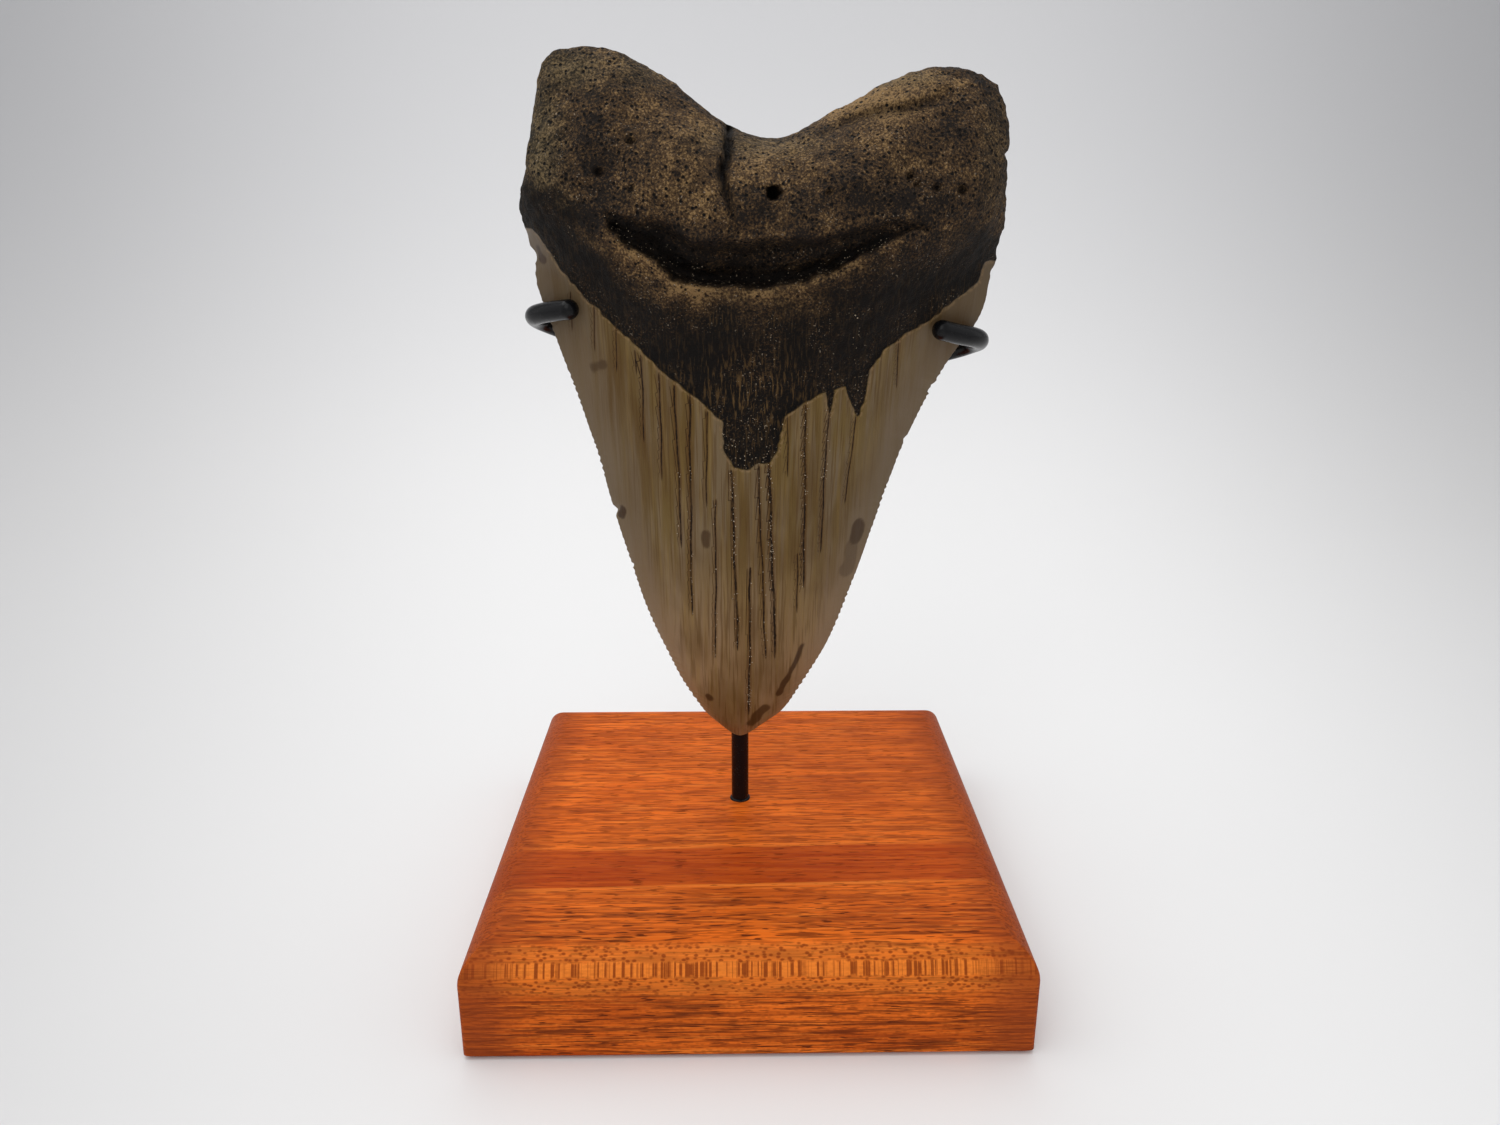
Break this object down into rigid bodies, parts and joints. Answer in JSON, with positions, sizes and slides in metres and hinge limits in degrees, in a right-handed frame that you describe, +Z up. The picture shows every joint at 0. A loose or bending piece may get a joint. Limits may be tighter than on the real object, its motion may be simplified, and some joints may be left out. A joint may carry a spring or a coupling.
{
  "type": "megalodon tooth on a display stand",
  "caption": "Fossil shark tooth, root up and point down, cradled by a bent black wire on a post in a square wooden base with rounded top edges.",
  "frame": {"origin": "middle of the wooden base's underside", "axes": "+Z up, -Y towards the tooth's tongue side, +X to the viewer's right from that side"},
  "size_m": [0.089, 0.089, 0.1483],
  "materials": {
    "fossil": "satin enamel on the crown, dull and porous on the root",
    "wood": "oiled red-brown hardwood, satin",
    "black_paint": "gloss black paint on steel rod"
  },
  "bodies": {
    "root": {"tooth": "fossil", "base": "wood", "post": "black_paint", "cradle": "black_paint"}
  },
  "joints": []
}
